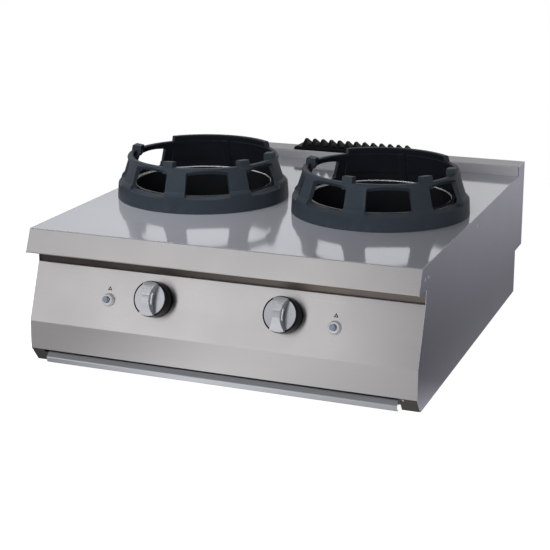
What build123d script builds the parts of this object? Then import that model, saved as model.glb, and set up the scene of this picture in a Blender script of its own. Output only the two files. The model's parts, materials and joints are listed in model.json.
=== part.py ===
from build123d import *
import os
from math import atan2, cos, radians, sin, sqrt

# Wok range, two-burner countertop module. Millimetres.
# X runs to the right, Y to the rear, Z up. The origin is the centre of the footprint on the
# bench: z = 0 is the underside of the base, y = 0 is halfway between fascia and rear face.

# ---------------------------------------------------------------- driving dimensions
# Body
unit_width = 800.0
unit_depth = 900.0
deck_height = 275.0
deck_sheet = 2.0
sheet = 1.5
bend_radius = 2.4
upstand_height = 22.0
upstand_depth = 66.0
notch_depth = 68.0
notch_height = 98.0

# Front: fascia, recess, sloping panel, band, return
fascia_drop = 46.0
fascia_lean = 20.0
fascia_lip = 12.0
recess_depth = 48.0
recess_gap = 28.0
panel_flange = 16.0
panel_drop = 113.0
panel_lean = 42.0
band_height = 57.0
foot_set_back = 23.5
strip_set_back = 4.0

# Burners and the raised rims round them
burner_x = 200.0
burner_y = -40.0
rim_ring_gap = 4.5
rim_height = 30.0
rim_flange = 12.0
rim_bend = 6.0
well_side_gap = 8.0
well_floor_z = 192.0
well_hole_radius = 42.0
well_air_inset = 40.0
well_air_hole = 9.0
well_air_count = 12

# Wok rings, heights above the deck
ring_base_radius = 184.5
ring_band_taper = 2.0
ring_band_top = 34.0
ring_shoulder_step = 6.5
ring_shoulder_top = 44.0
ring_cone_lean = 15.0
ring_top = 90.0
ring_wall = 12.5
ring_base_wall = 15.0
ring_rear_top = 102.0
ring_rear_lean = 2.0
ring_rear_arc = 90.0
ring_edge_radius = 2.5
ring_turn_left = -4.5
ring_turn_right = 0.0
window_width = 80.5
window_bottom = 41.0
window_top = 71.0
window_side_flare = 10.0
window_top_flare = 36.0
window_sill_flare = 12.0
window_corner = 4.0
window_azimuths = (-112.5, -67.5, -22.5, 22.5, 67.5, 112.5)
lug_azimuths = (-90.0, -7.5, 52.5, 90.0)
lug_arc = 8.0
lug_reach = 19.0
lug_root = 76.0
rib_arc = 5.5
rib_reach = 6.0
rib_foot = 6.0

# Burner heads
head_radius = 55.0
head_wall = 5.0
head_base_z = 200.0
head_top_z = 236.0
head_foot_radius = 52.0
head_foot_width = 8.0
throat_radius = 24.0
throat_bore = 17.0
cap_radius = 58.0
cap_height = 26.0
cap_skirt = 14.0
cap_hollow_radius = 44.0
cap_hollow_height = 12.0
cap_spigot = 6.0
cap_port_count = 24
cap_port_width = 3.0
cap_port_height = 8.0
cap_port_lift = 2.0

# Mixing tubes and injectors
mixer_radius = 19.0
mixer_bore = 16.0
mixer_gap = 30.0
bell_radius = 24.0
bell_bore = 21.0
bell_shield_gap = 5.0
bell_length = 25.0
holder_gap = 17.0
holder_thickness = 4.0
holder_radius = 20.0
holder_strut = 8.0
injector_hex = 9.0
injector_thread = 5.0
injector_thread_length = 7.0
injector_nozzle = 3.5
injector_nozzle_length = 8.0
injector_jet = 1.2

# Knobs, on the sloping panel
knob_x = 133.6
knob_drop = 50.0
knob_radius = 34.7
knob_back_radius = 35.6
knob_height = 27.0
knob_push_gap = 1.0
knob_wall = 3.2
knob_roof = 7.0
knob_hub_radius = 8.0
knob_hub_gap = 8.0
knob_edge_radius = 1.6
push_travel = 3.5
face_radius = 31.2
face_thickness = 2.0
face_lift = 0.6
grip_width = 29.0
grip_waist = 14.0
grip_end_height = 3.0
grip_height = 20.0
bezel_radius = 29.0
bezel_height = 4.0
bezel_chamfer = 1.0
bezel_bore = 7.0
panel_spindle_hole = 6.0

# Gas valves behind the panel
valve_size = 34.0
valve_depth = 38.0
valve_front = 24.0
valve_boss_radius = 10.0
valve_boss_gap = 1.5
valve_cavity_radius = 7.0
valve_cavity_sink = 2.0
valve_lid = 4.0
valve_outlet_radius = 7.0
valve_outlet_length = 7.0
spindle_radius = 4.0
spindle_foot_radius = 5.5
spindle_foot_height = 1.5
spindle_bottom_gap = 0.9
stage_height = 5.0

# Igniters
igniter_x = 233.6
igniter_drop = 61.5
igniter_collar_radius = 13.0
igniter_collar_nose = 10.5
igniter_collar_height = 7.5
igniter_body_radius = 8.0
igniter_body_depth = 35.0
igniter_nut_radius = 12.0
igniter_nut_height = 5.0
igniter_bore_depth = 12.0
button_radius = 6.0
button_stand = 17.0
button_tail = 4.0
button_edge = 1.2

# Gas pipes
pipe_radius = 10.65
pipe_bore = 8.0
thread_radius = 10.48
manifold_drop = 95.0
manifold_left_reach = 36.4
manifold_right_reach = 46.4
manifold_clamp_x = 60.0
manifold_clamp_width = 16.0
manifold_cap_radius = 13.0
manifold_cap_length = 14.0
stub_radius = 7.0
inlet_side_gap = 68.5
inlet_z = 49.0
inlet_stub = 30.0
inlet_turn_reach = 40.0
inlet_bend = 18.0
inlet_nut_radius = 16.0
inlet_nut_height = 7.0
supply_radius = 4.0
supply_bend = 12.0

# Pilot group beside each burner
pilot_x = 60.0
pilot_y = -50.0
pilot_pitch = 14.0
pilot_radius = 5.0
pilot_height = 36.0
pilot_hood_radius = 7.0
pilot_hood_height = 8.0
pilot_plate_length = 44.0
pilot_plate_width = 16.0
pilot_plate_thickness = 2.0
pilot_tube_radius = 2.5
probe_radius = 3.0
probe_top = 52.0
probe_lead_radius = 1.5
ceramic_radius = 3.5
ceramic_top = 34.0
ceramic_bottom = 12.0
spark_radius = 1.2
spark_length = 14.0
lead_radius = 1.75
lead_run = 90.0
lead_bend = 10.0
floor_hole = 4.5

# Frame inside
rail_width = 25.0
rail_height = 20.0
rail_sheet = 3.0
rail_set_back = 26.0
foot_hole = 5.25
foot_side_gap = 14.5
foot_end_gap = 110.0
front_rail_top = 84.0
front_rail_height = 26.0
front_rail_depth = 64.5
front_rail_sheet = 2.0
burner_rail_offset = 95.0
burner_rail_width = 25.0
burner_rail_height = 24.0
burner_rail_sheet = 2.0
shield_set_back = 150.0
shield_bottom_z = 60.0

# Flue
duct_width = 290.0
duct_depth = 50.0
duct_window_width = 240.0
duct_window_height = 50.0
duct_window_z = 225.0
flue_margin = 5.0
vent_count = 5
vent_pitch = 90.0
vent_length = 60.0
vent_width = 7.0
vent_z = 62.0
grille_length = 300.0
grille_width = 62.0
grille_thickness = 8.0
grille_chamfer = 3.0
grille_rim = 3.0
grille_rim_depth = 6.0
fin_count = 13
fin_pitch = 21.0
fin_foot_width = 14.0
fin_foot_length = 48.0
fin_tip_width = 4.0
fin_tip_length = 9.0
fin_tip_shift = -9.0
fin_height = 17.0
grille_slot_width = 6.0
grille_slot_length = 34.0

# Drip tray
tray_side_gap = 36.5
tray_set_back = 20.0
tray_rear_gap = 82.0
tray_floor_z = 8.0
tray_top_z = 27.0
tray_sheet = 1.2
tray_flange = 9.0
tray_corner = 6.0
handle_overhang = 1.0
handle_top_z = 28.8
handle_leg = 17.0
handle_top_depth = 13.0
handle_reach = 26.0
handle_nose_z = 17.0
handle_chin_z = 6.5
handle_chin_reach = 23.5
handle_hem_z = 4.5
handle_hem_reach = 15.0
tray_opening_gap = 1.5
tray_opening_top = 30.5
runner_ledge_gap = 4.0
runner_lip_z = 30.0

# Countersunk side screws: (distance in from the front, drop below the deck) of each head
front_screws = ((37.0, 24.0), (60.0, 25.5), (435.0, 21.0))
rear_screw_gap = 49.0
rear_screw_drop = 18.0
screw_radius = 2.0
screw_length = 8.0
side_flange_drop = 35.0

# Clearances
seat_clearance = 0.3
running_clearance = 0.08
hole_clearance = 0.1
spigot_clearance = 0.4

# Turns in degrees, and the sides of a hexagon
QUARTER_TURN = 90
REAR = 180
hexagon_side_count = 6

# ---------------------------------------------------------------- derived places
front_y = -unit_depth / 2
rear_y = unit_depth / 2
inner_half = unit_width / 2 - sheet
deck_front_y = front_y + fascia_lean
upstand_front_y = rear_y - upstand_depth
upstand_top_z = deck_height + upstand_height
notch_y = rear_y - notch_depth
fascia_bottom_z = deck_height - fascia_drop
panel_top_y = front_y + recess_depth
panel_top_z = fascia_bottom_z - recess_gap
crease_y = panel_top_y - panel_lean
crease_z = panel_top_z - panel_drop
band_bottom_z = crease_z - band_height
foot_front_y = crease_y + foot_set_back
side_flange_z = deck_height - side_flange_drop
flange_front_y = deck_front_y + 2 * deck_sheet - fascia_lean * side_flange_drop / fascia_drop
flue_y = (upstand_front_y + rear_y) / 2
deck_under_z = deck_height - deck_sheet
ring_band_radius = ring_base_radius - ring_band_taper
ring_shoulder_radius = ring_band_radius - ring_shoulder_step
ring_top_radius = ring_shoulder_radius - ring_cone_lean
ring_rear_radius = ring_top_radius - ring_rear_lean
rim_radius = ring_base_radius - ring_base_wall - rim_ring_gap - rim_flange
rim_top_z = deck_height + rim_height
well_radius = rim_radius - well_side_gap
well_air_radius = well_radius - well_air_inset
screw_places = [(front_y + gap, deck_height - drop) for gap, drop in front_screws]
screw_places.append((rear_y - rear_screw_gap, deck_height - rear_screw_drop))

# Pieces inside, each placed from what it goes with.
rail_front_y = crease_y + rail_set_back
shield_y = front_y + shield_set_back
bell_rear_y = shield_y - bell_shield_gap
bell_front_y = bell_rear_y - bell_length
holder_front_y = bell_front_y - holder_gap
mixer_rear_y = burner_y - mixer_gap
foot_x = inner_half - foot_side_gap
foot_y = unit_depth / 2 - foot_end_gap
inlet_x = inner_half - inlet_side_gap
inlet_end_y = notch_y + inlet_stub
tray_half_width = inner_half - tray_side_gap
tray_front_y = crease_y + tray_set_back
tray_length = notch_y - tray_rear_gap - tray_front_y
handle_half_width = tray_half_width + handle_overhang
tray_opening_half = handle_half_width + tray_opening_gap
runner_ledge_x = tray_half_width + runner_ledge_gap
manifold_left = -knob_x - manifold_left_reach
manifold_right = knob_x + manifold_right_reach

# The sloping panel's own frame: x to the right, y up the slope, z out of the panel.
slope = atan2(panel_lean, panel_drop)
panel_normal = (0.0, -cos(slope), sin(slope))
panel_up = (0.0, sin(slope), cos(slope))
panel_plane = Plane(origin=(0, panel_top_y, panel_top_z), x_dir=(1, 0, 0), z_dir=panel_normal)

# Along a knob's axis, measured out of the panel's face.
knob_gap = push_travel + knob_push_gap
boss_out = -sheet - valve_boss_gap
cavity_out = boss_out - valve_lid
cavity_bottom_out = -valve_front - valve_cavity_sink
stage_out = (
    cavity_bottom_out + spindle_bottom_gap + push_travel + spindle_foot_height + seat_clearance
)

SIDES = (("left", -1, ring_turn_left), ("right", 1, ring_turn_right))


def panel_point(x, up, out):
    """A place given in the sloping panel's frame."""
    return panel_plane.from_local_coords(Vector(x, up, out))


def panel_frame(x, drop, out=0.0):
    """A plane parallel to the sloping panel, its origin on a control's axis."""
    return Plane(origin=panel_point(x, -drop, out), x_dir=(1, 0, 0), z_dir=panel_normal)


def radial_plane(x, y, z, azimuth):
    """A vertical plane through an upright axis: local x is the radius, local y is height.
    Azimuth 0 points to the front and 90 to the right."""
    angle = radians(azimuth)
    return Plane(
        origin=(x, y, z),
        x_dir=(sin(angle), -cos(angle), 0),
        z_dir=(-cos(angle), -sin(angle), 0),
    )


def upright_axis(x, y):
    return Axis((x, y, 0), (0, 0, 1))


def bent_sheet(plane, points, thickness, radius=bend_radius):
    """Section of a bent sheet. The points give one face; the sheet lies to their left."""
    with BuildSketch(plane) as section:
        with BuildLine():
            FilletPolyline(*points, radius=radius)
            offset(amount=thickness, side=Side.LEFT)
        make_face()
    return section.sketch


def round_tube(points, radius, bend, bore=0.0):
    """A tube along straight runs joined by arcs."""
    with BuildPart() as tube:
        with BuildLine() as route:
            FilletPolyline(*points, radius=bend)
        with BuildSketch(Plane(origin=route.line @ 0, z_dir=route.line % 0)):
            Circle(radius)
            if bore > 0:
                Circle(bore, mode=Mode.SUBTRACT)
        sweep()
    return tube.part


def screw_planes(sign):
    """Planes at the screw heads of one side, facing outwards."""
    return [
        Plane(origin=(sign * unit_width / 2, y, z), x_dir=(0, 1, 0), z_dir=(sign, 0, 0))
        for y, z in screw_places
    ]


def cut_screw_holes(sign):
    """Holes for the side screws, in the piece that is being built."""
    with Locations(*screw_planes(sign)):
        Hole(screw_radius + hole_clearance, depth=screw_length)


def save(piece, name):
    piece.part.label = name
    export_step(piece.part, f"parts/{name}.step")


os.makedirs("parts", exist_ok=True)

# ---------------------------------------------------------------- side panels
side_outline = (
    (notch_y, 0),
    (notch_y, notch_height),
    (rear_y, notch_height),
    (rear_y, upstand_top_z),
    (upstand_front_y, upstand_top_z),
    (upstand_front_y, deck_height),
    (deck_front_y, deck_height),
    (front_y, fascia_bottom_z),
    (panel_top_y, fascia_bottom_z),
    (panel_top_y, panel_top_z),
    (crease_y, crease_z),
    (crease_y, band_bottom_z),
    (foot_front_y, 0),
)
for side, sign, turn in SIDES:
    with BuildPart() as side_panel:
        with BuildSketch(Plane.YZ.offset(sign * (inner_half + sheet / 2))):
            with BuildLine():
                Polyline(*side_outline, close=True)
            make_face()
        extrude(amount=sheet / 2, both=True)
        with Locations(*screw_planes(sign)):
            CounterSinkHole(
                screw_radius + hole_clearance,
                screw_radius + hole_clearance + sheet,
                depth=sheet,
                counter_sink_angle=QUARTER_TURN,
            )
    save(side_panel, f"side_panel_{side}")

# Countersunk screws, flush with both side panels, one solid each.
with BuildPart() as side_screws:
    for side, sign, turn in SIDES:
        for screw_plane in screw_planes(sign):
            with Locations(screw_plane.offset(-sheet / 2)):
                Cone(screw_radius, screw_radius + sheet, sheet)
            with BuildSketch(screw_plane.offset(-sheet)):
                Circle(screw_radius)
            extrude(amount=sheet - screw_length)
save(side_screws, "side_screws")

# ---------------------------------------------------------------- top plate
with BuildPart() as top_plate:
    deck_section = bent_sheet(
        Plane.YZ.offset(-inner_half),
        [
            (upstand_front_y, deck_height),
            (deck_front_y, deck_height),
            (front_y, fascia_bottom_z),
            (front_y + fascia_lip, fascia_bottom_z),
        ],
        deck_sheet,
    )
    extrude(deck_section, amount=2 * inner_half)
    # Folded side flanges that the side panels are screwed to.
    for side, sign, turn in SIDES:
        with BuildSketch(Plane.YZ.offset(sign * (inner_half - deck_sheet / 2))):
            with BuildLine():
                Polyline(
                    (upstand_front_y, deck_under_z),
                    (upstand_front_y, side_flange_z),
                    (flange_front_y, side_flange_z),
                    (deck_front_y + deck_sheet, deck_under_z),
                    close=True,
                )
            make_face()
        extrude(amount=deck_sheet / 2, both=True)
        cut_screw_holes(sign)
    with BuildSketch(Plane.XY.offset(deck_height)):
        with Locations(*[(sign * burner_x, burner_y) for side, sign, turn in SIDES]):
            Circle(rim_radius)
    extrude(amount=-2 * deck_sheet, mode=Mode.SUBTRACT)
save(top_plate, "top_plate")

# Raised rims, each a flanged ring welded on the deck round its hole.
for side, sign, turn in SIDES:
    with BuildPart() as burner_rim:
        rim_section = bent_sheet(
            radial_plane(sign * burner_x, burner_y, 0, 0),
            [
                (rim_radius - deck_sheet, rim_top_z),
                (rim_radius - deck_sheet, deck_height),
                (rim_radius + rim_flange, deck_height),
            ],
            deck_sheet,
            radius=rim_bend,
        )
        revolve(rim_section, axis=upright_axis(sign * burner_x, burner_y))
    save(burner_rim, f"burner_rim_{side}")

# ---------------------------------------------------------------- front
with BuildPart() as front_recess_strip:
    strip_y = panel_top_y + strip_set_back
    strip_foot_height = side_flange_z - seat_clearance - panel_top_z
    with BuildSketch(Plane.XZ.offset(-strip_y)):
        with Locations((0, panel_top_z + strip_foot_height / 2)):
            Rectangle(2 * inner_half, strip_foot_height)
        with Locations((0, (panel_top_z + deck_under_z) / 2)):
            Rectangle(2 * (inner_half - deck_sheet), deck_under_z - panel_top_z)
    extrude(amount=-sheet)
save(front_recess_strip, "front_recess_strip")

with BuildPart() as control_panel:
    panel_section = bent_sheet(
        Plane.YZ.offset(-inner_half),
        [
            (panel_top_y + panel_flange, panel_top_z),
            (panel_top_y, panel_top_z),
            (crease_y, crease_z),
            (crease_y, band_bottom_z),
            (foot_front_y, 0),
        ],
        sheet,
    )
    extrude(panel_section, amount=2 * inner_half)
    with BuildSketch(panel_plane):
        with Locations((-knob_x, -knob_drop), (knob_x, -knob_drop)):
            Circle(panel_spindle_hole)
        with Locations((-igniter_x, -igniter_drop), (igniter_x, -igniter_drop)):
            Circle(igniter_body_radius + hole_clearance)
    extrude(amount=-2 * sheet, mode=Mode.SUBTRACT)
    # The tray slides in below the band, with its flanges through a slot at each side.
    with BuildSketch(Plane.XZ.offset(-foot_front_y)):
        with Locations((0, tray_opening_top / 2)):
            Rectangle(2 * tray_opening_half, tray_opening_top)
        with Locations((0, tray_top_z)):
            Rectangle(2 * (tray_half_width + tray_flange + sheet),
                      2 * (tray_opening_top - tray_top_z))
    extrude(amount=2 * foot_set_back, both=True, mode=Mode.SUBTRACT)
save(control_panel, "control_panel")

# ---------------------------------------------------------------- rear
with BuildPart() as back_panel:
    back_section = bent_sheet(
        Plane.YZ.offset(-inner_half),
        [(notch_y, 0), (notch_y, notch_height), (rear_y, notch_height)],
        sheet,
    )
    extrude(back_section, amount=2 * inner_half)
    with BuildSketch(Plane.XZ.offset(-notch_y)):
        with Locations((inlet_x, inlet_z)):
            Circle(pipe_radius + seat_clearance)
        with Locations((0, vent_z)):
            with GridLocations(vent_pitch, 1, vent_count, 1):
                SlotOverall(vent_length, vent_width)
    extrude(amount=2 * sheet, both=True, mode=Mode.SUBTRACT)
save(back_panel, "back_panel")

housing_foot_z = notch_height + sheet
with BuildPart() as flue_housing:
    housing_section = bent_sheet(
        Plane.YZ.offset(-inner_half),
        [
            (rear_y, housing_foot_z),
            (rear_y, upstand_top_z),
            (upstand_front_y, upstand_top_z),
            (upstand_front_y, deck_under_z - fascia_lip),
        ],
        sheet,
    )
    extrude(housing_section, amount=2 * inner_half)
    for side, sign, turn in SIDES:
        with BuildSketch(Plane.YZ.offset(sign * (inner_half - sheet / 2))):
            with Locations((flue_y, (side_flange_z + upstand_top_z - sheet) / 2)):
                Rectangle(upstand_depth - 2 * sheet, upstand_top_z - sheet - side_flange_z)
        extrude(amount=sheet / 2, both=True)
        cut_screw_holes(sign)
    with BuildSketch(Plane.XY.offset(upstand_top_z)):
        with Locations((0, flue_y)):
            Rectangle(duct_width - 2 * flue_margin, duct_depth - 2 * flue_margin)
    extrude(amount=-2 * sheet, mode=Mode.SUBTRACT)
save(flue_housing, "flue_housing")

with BuildPart() as flue_duct:
    with BuildSketch(Plane.XY.offset(housing_foot_z)):
        with Locations((0, flue_y)):
            Rectangle(duct_width, duct_depth)
            Rectangle(duct_width - 2 * sheet, duct_depth - 2 * sheet, mode=Mode.SUBTRACT)
    extrude(amount=upstand_top_z - sheet - housing_foot_z)
    with BuildSketch(Plane.XZ.offset(-(flue_y - duct_depth / 2))):
        with Locations((0, duct_window_z)):
            Rectangle(duct_window_width, duct_window_height)
    extrude(amount=2 * sheet, both=True, mode=Mode.SUBTRACT)
save(flue_duct, "flue_duct")

# Cast grille: a bevelled plate with upright fins and slots between them. It lifts off.
grille_top_z = upstand_top_z + grille_thickness
with BuildPart() as flue_grille:
    with BuildSketch(Plane.XY.offset(upstand_top_z)):
        with Locations((0, flue_y)):
            Rectangle(grille_length, grille_width)
    extrude(amount=grille_thickness)
    chamfer(flue_grille.faces().sort_by(Axis.Z)[-1].edges(), length=grille_chamfer)
    with BuildSketch(Plane.XY.offset(upstand_top_z)):
        with Locations((0, flue_y)):
            rim_length = duct_width - 2 * flue_margin - 2 * grille_rim
            rim_width = duct_depth - 2 * flue_margin - 2 * grille_rim
            Rectangle(rim_length, rim_width)
            Rectangle(rim_length - 2 * grille_rim, rim_width - 2 * grille_rim,
                      mode=Mode.SUBTRACT)
    extrude(amount=-grille_rim_depth)
    fin_places = [
        ((index - (fin_count - 1) / 2) * fin_pitch, flue_y) for index in range(fin_count)
    ]
    for fin_x, fin_y in fin_places:
        with BuildSketch(Plane.XY.offset(grille_top_z)):
            with Locations((fin_x, fin_y)):
                Rectangle(fin_foot_width, fin_foot_length)
        with BuildSketch(Plane.XY.offset(grille_top_z + fin_height)):
            with Locations((fin_x, fin_y + fin_tip_shift)):
                Rectangle(fin_tip_width, fin_tip_length)
        loft()
    with BuildSketch(Plane.XY.offset(upstand_top_z - grille_rim_depth)):
        with Locations((0, flue_y)):
            with GridLocations(fin_pitch, 1, fin_count - 1, 1):
                SlotOverall(grille_slot_length, grille_slot_width, rotation=QUARTER_TURN)
    extrude(amount=grille_rim_depth + grille_thickness, mode=Mode.SUBTRACT)
save(flue_grille, "flue_grille")

# ---------------------------------------------------------------- frame inside
for side, sign, turn in SIDES:
    with BuildPart() as base_rail:
        with BuildSketch(Plane.XZ.offset(-rail_front_y)):
            with Locations((sign * (inner_half - rail_width / 2), rail_height / 2)):
                Rectangle(rail_width, rail_height)
            with Locations((sign * (inner_half - rail_width / 2 - rail_sheet), rail_height / 2)):
                Rectangle(rail_width, rail_height - 2 * rail_sheet, mode=Mode.SUBTRACT)
        extrude(amount=-(notch_y - sheet - rail_front_y))
        with BuildSketch(Plane.XY):
            with Locations((sign * foot_x, -foot_y), (sign * foot_x, foot_y)):
                Circle(foot_hole)
        extrude(amount=rail_sheet, mode=Mode.SUBTRACT)
    save(base_rail, f"base_rail_{side}")

front_rail_y = crease_y + sheet
with BuildPart() as front_cross_rail:
    rail_section = bent_sheet(
        Plane.YZ.offset(-inner_half),
        [
            (front_rail_y + front_rail_depth, front_rail_top),
            (front_rail_y, front_rail_top),
            (front_rail_y, front_rail_top - front_rail_height),
        ],
        front_rail_sheet,
    )
    extrude(rail_section, amount=2 * inner_half)
save(front_cross_rail, "front_cross_rail")

burner_rail_top = well_floor_z - sheet
for place, offset_y in (("front", -burner_rail_offset), ("rear", burner_rail_offset)):
    with BuildPart() as burner_rail:
        centre_y = burner_y + offset_y
        rail_section = bent_sheet(
            Plane.YZ.offset(-inner_half),
            [
                (centre_y + burner_rail_width / 2, burner_rail_top - burner_rail_height),
                (centre_y + burner_rail_width / 2, burner_rail_top),
                (centre_y - burner_rail_width / 2, burner_rail_top),
                (centre_y - burner_rail_width / 2, burner_rail_top - burner_rail_height),
            ],
            burner_rail_sheet,
        )
        extrude(rail_section, amount=2 * inner_half)
    save(burner_rail, f"burner_rail_{place}")

# ---------------------------------------------------------------- places of the gas parts
valve_middle = valve_front + valve_depth / 2
valve_rear = valve_front + valve_depth
outlet_point = panel_point(0, -knob_drop, -valve_middle)
mixer_z = outlet_point.Z
injector_rear_y = holder_front_y - injector_hex - seat_clearance
manifold_point = panel_point(0, -manifold_drop, -valve_middle)
inlet_turn_y = manifold_point.Y + inlet_turn_reach
line_point = panel_point(0, -knob_drop, -valve_rear)
igniter_rear_point = panel_point(0, -igniter_drop, -igniter_body_depth)
lead_turn_point = panel_point(0, -igniter_drop, -lead_run)
group_y = burner_y + pilot_y
group_x = burner_x - pilot_x
electrode_x = group_x + pilot_pitch
probe_x = group_x - pilot_pitch

with BuildPart() as heat_shield:
    with BuildSketch(Plane.XZ.offset(-shield_y)):
        with Locations((0, (shield_bottom_z + deck_under_z) / 2)):
            Rectangle(2 * (inner_half - deck_sheet), deck_under_z - shield_bottom_z)
        with Locations((-burner_x, mixer_z), (burner_x, mixer_z)):
            Circle(mixer_radius + seat_clearance, mode=Mode.SUBTRACT)
        with Locations((-group_x, line_point.Z), (group_x, line_point.Z)):
            Circle(pilot_tube_radius + seat_clearance, mode=Mode.SUBTRACT)
        with Locations((-probe_x, line_point.Z), (probe_x, line_point.Z)):
            Circle(probe_lead_radius + seat_clearance, mode=Mode.SUBTRACT)
        with Locations((-electrode_x, lead_turn_point.Z), (electrode_x, lead_turn_point.Z)):
            Circle(lead_radius + seat_clearance, mode=Mode.SUBTRACT)
    extrude(amount=-sheet)
save(heat_shield, "heat_shield")

# ---------------------------------------------------------------- burners, one of each per side
for side, sign, turn in SIDES:
    centre_x = sign * burner_x
    axis = upright_axis(centre_x, burner_y)
    pilot_places = [
        (sign * group_x, group_y),
        (sign * electrode_x, group_y),
        (sign * probe_x, group_y),
    ]

    # Enamelled well: a lip that hangs on the raised rim, a wall and a floor with air holes.
    with BuildPart() as burner_well:
        well_section = bent_sheet(
            radial_plane(centre_x, burner_y, 0, 0),
            [
                (rim_radius + hole_clearance, rim_top_z + sheet),
                (well_radius, rim_top_z + sheet),
                (well_radius, well_floor_z),
                (well_hole_radius, well_floor_z),
            ],
            sheet,
        )
        revolve(well_section, axis=axis)
        with BuildSketch(Plane.XY.offset(well_floor_z - sheet)):
            with Locations((centre_x, burner_y)):
                with PolarLocations(well_air_radius, well_air_count):
                    Circle(well_air_hole)
            with Locations(*pilot_places):
                Circle(floor_hole)
        extrude(amount=sheet, mode=Mode.SUBTRACT)
    save(burner_well, f"burner_well_{side}")

    # Cast burner body: an open cup on a ring foot, over a throat with a side port.
    with BuildPart() as burner_body:
        with BuildSketch(radial_plane(centre_x, burner_y, 0, 0)):
            with BuildLine():
                Polyline(
                    (0, mixer_z - throat_radius),
                    (throat_radius, mixer_z - throat_radius),
                    (throat_radius, head_base_z),
                    (head_foot_radius - head_foot_width, head_base_z),
                    (head_foot_radius - head_foot_width, well_floor_z),
                    (head_foot_radius, well_floor_z),
                    (head_foot_radius, head_base_z),
                    (head_radius, head_base_z + head_wall),
                    (head_radius, head_top_z),
                    (head_radius - head_wall, head_top_z),
                    (head_radius - head_wall, head_base_z + head_wall),
                    (0, head_base_z + head_wall),
                    close=True,
                )
            make_face()
        revolve(axis=axis)
        port_plane = Plane.XZ.offset(-burner_y)
        with BuildSketch(port_plane):
            with Locations((centre_x, mixer_z)):
                Circle(throat_radius - 2 * sheet)
        extrude(amount=burner_y - mixer_rear_y)
        with BuildSketch(port_plane):
            with Locations((centre_x, mixer_z)):
                Circle(mixer_bore)
        extrude(amount=burner_y - mixer_rear_y, mode=Mode.SUBTRACT)
        with BuildSketch(Plane.XY.offset(mixer_z - throat_bore)):
            with Locations((centre_x, burner_y)):
                Circle(throat_bore)
        extrude(amount=head_base_z + head_wall - mixer_z + throat_bore, mode=Mode.SUBTRACT)
    save(burner_body, f"burner_body_{side}")

    # Cap: a shallow dome over a hollow, with a row of ports; a spigot drops into the cup.
    with BuildPart() as burner_cap:
        cap_top_z = head_top_z + cap_height
        spigot_radius = head_radius - head_wall - spigot_clearance
        with BuildSketch(radial_plane(centre_x, burner_y, 0, 0)):
            with BuildLine():
                Polyline(
                    (0, head_top_z + cap_hollow_height),
                    (cap_hollow_radius, head_top_z + cap_hollow_height),
                    (cap_hollow_radius, head_top_z - cap_spigot),
                    (spigot_radius, head_top_z - cap_spigot),
                    (spigot_radius, head_top_z),
                    (cap_radius, head_top_z),
                    (cap_radius, head_top_z + cap_skirt),
                )
                TangentArc((0, cap_top_z), (cap_radius, head_top_z + cap_skirt), tangent=(1, 0))
                Line((0, cap_top_z), (0, head_top_z + cap_hollow_height))
            make_face()
        revolve(axis=axis)
        port_z = head_top_z + cap_port_lift + cap_port_height / 2
        with Locations(Location((centre_x, burner_y, port_z))):
            with PolarLocations((cap_radius + cap_hollow_radius) / 2, cap_port_count):
                Box(cap_radius - cap_hollow_radius + 2 * sheet, cap_port_width, cap_port_height,
                    mode=Mode.SUBTRACT)
    save(burner_cap, f"burner_cap_{side}")

    # Mixing tube: a bell towards the front, and a holder plate that carries the injector.
    tube_plane = Plane(origin=(centre_x, 0, mixer_z), x_dir=(0, 1, 0), z_dir=(1, 0, 0))
    tube_axis = Axis((centre_x, 0, mixer_z), (0, 1, 0))
    with BuildPart() as mixer_tube:
        with BuildSketch(tube_plane):
            with BuildLine():
                Polyline(
                    (mixer_rear_y, mixer_bore),
                    (mixer_rear_y, mixer_radius),
                    (bell_rear_y, mixer_radius),
                    (bell_front_y, bell_radius),
                    (bell_front_y, bell_bore),
                    (bell_rear_y, mixer_bore),
                    close=True,
                )
            make_face()
        revolve(axis=tube_axis)
        with BuildSketch(Plane.XZ.offset(-holder_front_y)):
            with Locations((centre_x, mixer_z)):
                Circle(holder_radius)
                Circle(injector_thread + hole_clearance, mode=Mode.SUBTRACT)
        extrude(amount=-holder_thickness)
        with BuildSketch(Plane.XZ.offset(-holder_front_y)):
            strut_z = (holder_radius + bell_radius) / 2 - sheet
            with Locations((centre_x, mixer_z - strut_z), (centre_x, mixer_z + strut_z)):
                Rectangle(holder_strut, bell_radius - holder_radius + sheet)
        extrude(amount=-(bell_front_y + sheet - holder_front_y))
    save(mixer_tube, f"mixer_tube_{side}")

    # Brass injector: hexagon, thread and nozzle, with its jet drilled through.
    with BuildPart() as injector:
        with BuildSketch(Plane.XZ.offset(-injector_rear_y)):
            with Locations((centre_x, mixer_z)):
                RegularPolygon(injector_hex, hexagon_side_count)
        extrude(amount=-(holder_front_y - injector_rear_y))
        with BuildSketch(Plane.XZ.offset(-holder_front_y)):
            with Locations((centre_x, mixer_z)):
                Circle(injector_thread)
        extrude(amount=-injector_thread_length)
        with BuildSketch(Plane.XZ.offset(-(holder_front_y + injector_thread_length))):
            with Locations((centre_x, mixer_z)):
                Circle(injector_nozzle)
        extrude(amount=-injector_nozzle_length)
        with BuildSketch(Plane.XZ.offset(-injector_rear_y)):
            with Locations((centre_x, mixer_z)):
                Circle(injector_jet)
        extrude(amount=-(unit_depth / 2 + injector_rear_y), mode=Mode.SUBTRACT)
    save(injector, f"injector_{side}")

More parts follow.
